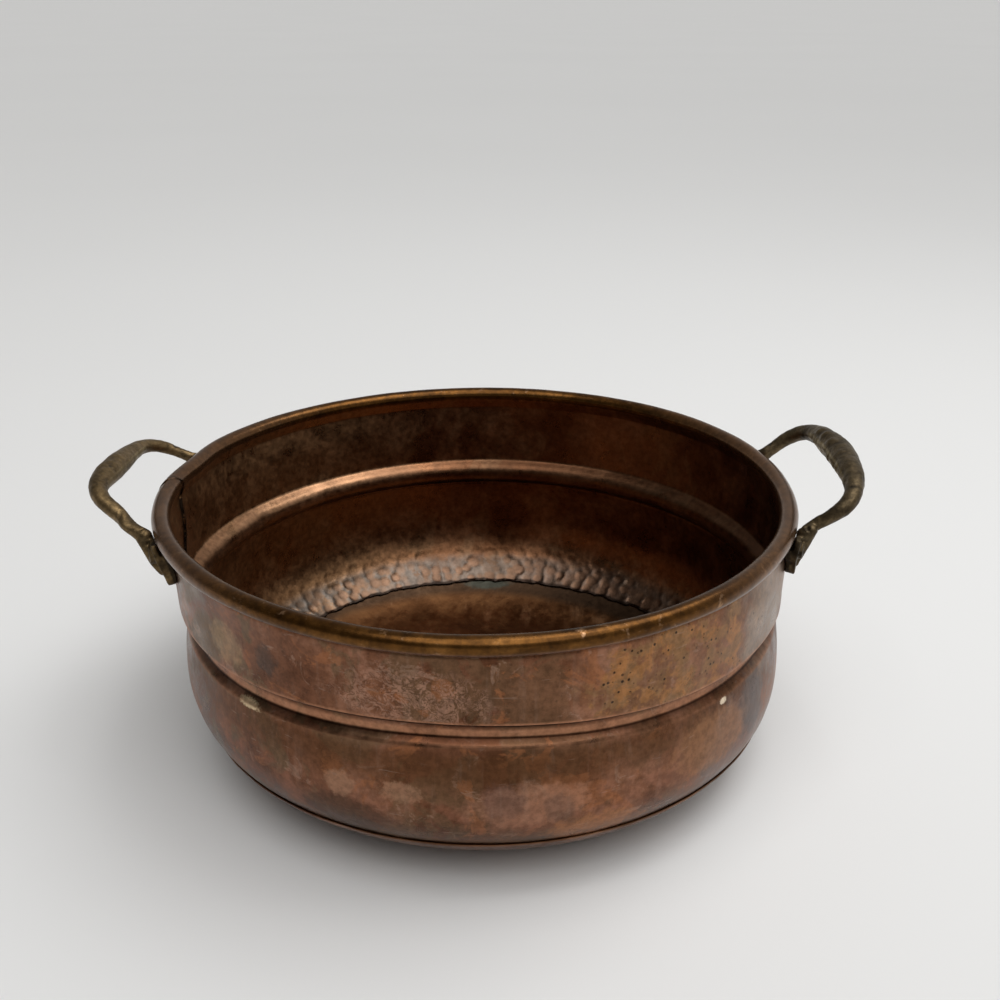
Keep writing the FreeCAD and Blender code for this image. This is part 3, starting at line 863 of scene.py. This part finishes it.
    # Painted shade: the lower half of the rolled rim, down to where its edge meets the wall, is darkened.
    painted_shade_under_bead = s.band(height, 0.1272, 0.1282, 1, 0)
    worn = s.band(s.noise(6, 9, 0.75, 26.0, distortion=0.5), 0.60, 0.64)
    lacquer = s.mix(lacquer, (0.42, 0.25, 0.14), s.maths("MULTIPLY", worn, 0.5))
    sides = s.band(s.maths("ABSOLUTE", across), 0.08, 0.15)
    lacquer = s.mix(lacquer, (0.175, 0.092, 0.048), s.maths("MULTIPLY", sides, 0.6))
    lacquer = s.mix(lacquer, (0.025, 0.014, 0.009), s.maths("MULTIPLY", painted_shade_under_bead, 0.7))
    colour = s.mix(colour, lacquer, bead)

    # Dirt in the seam, and fine grain over everything.
    crack = s.maths("MULTIPLY", s.attribute("crack"), s.band(s.noise(5, 6, 0.7, 18.0), 0.36, 0.50))
    colour = s.mix(colour, (0.010, 0.008, 0.007), s.maths("MULTIPLY", crack, 0.95))
    speckle = s.band(fine, 0.32, 0.68, 0.78, 1.22)
    colour = s.mix(colour, speckle, 1.0, "MULTIPLY")

    both = s.maths("MULTIPLY_ADD", fine, 0.3, s.maths("MULTIPLY", medium, 0.7))
    dull = s.band(both, 0.36, 0.64, 0.26, 0.46)
    rough = s.lerp(dull, 0.27, bead)
    s.connect(s.lerp(1.0, 0.88, bead), s.shader.inputs["Metallic"])
    rough = s.lerp(rough, 0.50, solder)
    grain = s.maths("MULTIPLY_ADD", s.noise(1.1, 3, 0.6, 19.0), 0.3, s.noise(7, 5, 0.6, 20.0))
    grain = s.maths("MULTIPLY", grain, s.lerp(1.0, 0.25, bead))
    wrinkled = s.maths("MULTIPLY", scratched, lines)
    normal = s.bump(s.maths("MULTIPLY_ADD", wrinkled, 0.6, grain), 0.13)
    return s.finish(colour, rough, normal)


def copper_base():
    s = Surface("aged_copper_base")
    medium = s.noise(26, 6, 0.6, 31.0, distortion=0.5)
    fine = s.noise(5, 4, 0.6, 32.0)
    floor = s.ramp(s.maths("MULTIPLY_ADD", fine, 0.25, s.maths("MULTIPLY", medium, 0.75)), [
        (0.34, (0.058, 0.025, 0.010)),
        (0.50, (0.100, 0.044, 0.018)),
        (0.66, (0.155, 0.073, 0.030)),
    ])
    streak = s.band(s.noise(12, 4, 0.6, 33.0, (1.0, 0.25, 1.0)), 0.54, 0.72)
    floor = s.mix(floor, (0.34, 0.19, 0.10), s.maths("MULTIPLY", streak, 0.4))
    outside = s.ramp(medium, [
        (0.35, (0.120, 0.062, 0.040)),
        (0.65, (0.260, 0.150, 0.105)),
    ])
    colour = s.mix(floor, outside, s.attribute("outside"))
    # Green copper salts in the corner under the lap.
    green = s.blob((6, 131, 12), (14, 3.5, 6), 34.0, 0.5)
    colour = s.mix(colour, (0.06, 0.16, 0.15), s.maths("MULTIPLY", green, 0.8))
    # Dark band along the foot of the lap: dirt in the joint and painted shade in the corner where the base
    # meets the wall.
    radius = s.maths("POWER", s.axis("X"), 2.0)
    radius = s.maths("SQRT", s.maths("ADD", radius, s.maths("POWER", s.axis("Y"), 2.0)))
    lap_foot_dirt_and_shade = s.maths("MULTIPLY", s.band(radius, 0.121, 0.128), s.band(s.axis("Z"), 0.020, 0.024, 1, 0))
    lap_foot_dirt_and_shade = s.maths("MULTIPLY", lap_foot_dirt_and_shade, s.lerp(1.0, 0.0, s.attribute("outside")))
    colour = s.mix(colour, (0.035, 0.022, 0.014), s.maths("MULTIPLY", lap_foot_dirt_and_shade, 0.85))
    rough = s.band(fine, 0.3, 0.7, 0.34, 0.52)
    normal = s.bump(s.noise(7, 5, 0.6, 35.0), 0.25)
    return s.finish(colour, rough, normal)


def cast_brass(name, seed, tint):
    s = Surface(name, 0.9)
    medium = s.noise(11, 5, 0.65, seed)
    fine = s.noise(2.2, 4, 0.6, seed + 1)
    mixed = s.maths("MULTIPLY_ADD", fine, 0.4, s.maths("MULTIPLY", medium, 0.6))
    colour = s.ramp(mixed, [
        (0.36, tuple(0.45 * c for c in tint)),
        (0.50, tint),
        (0.66, tuple(1.7 * c for c in tint)),
    ])
    # Near black: painted shade behind the lug's plate, and darkened pits in the skin.
    plate_shade_and_dark_pits = s.attribute("plate_shade_and_dark_pits")
    colour = s.mix(colour, (0.014, 0.010, 0.006), s.maths("MULTIPLY", plate_shade_and_dark_pits, 0.85))
    worn = s.band(s.maths("MULTIPLY", s.attribute("parting"), medium), 0.2, 0.6)
    colour = s.mix(colour, (0.42, 0.33, 0.17), s.maths("MULTIPLY", worn, 0.5))
    rough = s.band(mixed, 0.35, 0.65, 0.58, 0.38)
    grain = s.maths("MULTIPLY_ADD", s.noise(0.9, 3, 0.6, seed + 3), 0.5, fine)
    return s.finish(colour, rough, s.bump(grain, 0.22))


def rivet_copper():
    s = Surface("flush_rivet_copper")
    medium = s.noise(3, 4, 0.6, 61.0)
    colour = s.ramp(medium, [(0.35, (0.105, 0.042, 0.022)), (0.65, (0.215, 0.100, 0.058))])
    return s.finish(colour, s.band(medium, 0.3, 0.7, 0.4, 0.6), s.bump(medium, 0.1))


def black_iron():
    s = Surface("black_iron_wire")
    medium = s.noise(4, 4, 0.6, 71.0)
    colour = s.ramp(medium, [(0.35, (0.020, 0.016, 0.013)), (0.65, (0.075, 0.045, 0.030))])
    return s.finish(colour, 0.7, s.bump(medium, 0.1))


def pale_floor():
    s = Surface("pale_floor", 0.0)
    soft = s.noise(900, 2, 0.5, 81.0)
    colour = s.ramp(soft, [(0.3, (0.775, 0.775, 0.770)), (0.7, (0.785, 0.785, 0.780))])
    s.shader.inputs["Specular IOR Level"].default_value = 0.2
    return s.finish(colour, 0.75)


# ---- Build --------------------------------------------------------------------------------
wall_metal = copper_wall()
place(make_wall(), ["bowl_wall"], wall_metal)
place(make_base(), ["bowl_base"], copper_base())
place(make_wire(), ["rim_wire"], black_iron())
brass = cast_brass("cast_brass_left", 41.0, (0.150, 0.100, 0.046))
place(make_handle("left", 0.55, 101), ["handle_left"], brass)
brass = cast_brass("cast_brass_right", 51.0, (0.095, 0.068, 0.036))
place(make_handle("right", 1.0, 131), ["handle_right"], brass)
rivet_metal = rivet_copper()
for node in ("rivet_left_front", "rivet_left_back", "rivet_right_front", "rivet_right_back"):
    place(make_rivet(node), [node], rivet_metal)

floor = make_object(
    "floor",
    np.array([[-6e4, -6e4, 0], [6e4, -6e4, 0], [6e4, 12e4, 0], [-6e4, 12e4, 0]], float),
    [[0, 1, 2, 3]],
)
floor.data.materials.append(pale_floor())


# ---- Light and camera ---------------------------------------------------------------------
def area_light(name, place_m, target_m, size, power, colour=(1, 1, 1)):
    data = bpy.data.lights.new(name, "AREA")
    data.shape = "RECTANGLE"
    data.size, data.size_y = size
    data.energy = power
    data.color = colour
    light = bpy.data.objects.new(name, data)
    light.location = place_m
    aim = Vector(target_m) - Vector(place_m)
    light.rotation_euler = aim.to_track_quat("-Z", "Y").to_euler()
    bpy.context.scene.collection.objects.link(light)


area_light("key_from_right", (0.60, 0.10, 1.45), (0, 0, 0.08), (0.9, 0.9), 8)

sun_data = bpy.data.lights.new("soft_top", "SUN")
sun_data.energy = 1.7
sun_data.angle = math.radians(60)
sun = bpy.data.objects.new("soft_top", sun_data)
sun.rotation_euler = Vector((0.10, -0.42, 1.0)).to_track_quat("Z", "Y").to_euler()
bpy.context.scene.collection.objects.link(sun)


def make_world():
    """Studio light: pale near the horizon, dim in front, brighter behind and to the right."""
    world = bpy.data.worlds.new("studio")
    world.use_nodes = True
    nodes = world.node_tree.nodes
    links = world.node_tree.links
    axes = nodes.new("ShaderNodeSeparateXYZ")
    links.new(nodes.new("ShaderNodeTexCoord").outputs["Generated"], axes.inputs[0])

    def ease(socket, low, high, start, end):
        node = nodes.new("ShaderNodeMapRange")
        node.interpolation_type = "SMOOTHSTEP"
        for name, value in (("From Min", low), ("From Max", high), ("To Min", start), ("To Max", end)):
            node.inputs[name].default_value = value
        links.new(socket, node.inputs["Value"])
        return node.outputs["Result"]

    def total(first, second):
        node = nodes.new("ShaderNodeMath")
        node.operation = "ADD"
        links.new(first, node.inputs[0])
        links.new(second, node.inputs[1])
        return node.outputs[0]

    to_back = ease(axes.outputs["Y"], -0.5, 0.9, 0.07, 0.26)
    to_right = ease(axes.outputs["X"], -0.7, 0.9, 0.0, 0.26)
    around = total(to_back, to_right)
    skyline = ease(axes.outputs["Z"], 0.03, 0.22, 0.24, 0.0)
    strength = total(around, skyline)
    background = nodes["Background"]
    background.inputs["Color"].default_value = (1.0, 0.985, 0.96, 1.0)
    links.new(strength, background.inputs["Strength"])
    return world


bpy.context.scene.world = make_world()

CAMERA_PLACE = (0.00171, -0.55754, 0.23476)     # metres, from the rim's centre
CAMERA_DOWN = 23.323                            # degrees below level
CAMERA_TURN = -0.999                            # degrees, anticlockwise from above

camera_data = bpy.data.cameras.new("camera")
camera_data.sensor_width = 36.0
camera_data.lens = 42.84
camera = bpy.data.objects.new("camera", camera_data)
rim_centre = Vector((0, FRONT_SHIFT * MM, WIRE_HEIGHT * MM))
camera.location = rim_centre + Vector(CAMERA_PLACE)
camera.rotation_euler = (math.radians(90 - CAMERA_DOWN), 0.0, math.radians(CAMERA_TURN))
bpy.context.scene.collection.objects.link(camera)
bpy.context.scene.camera = camera
bpy.context.scene.view_settings.view_transform = "Standard"
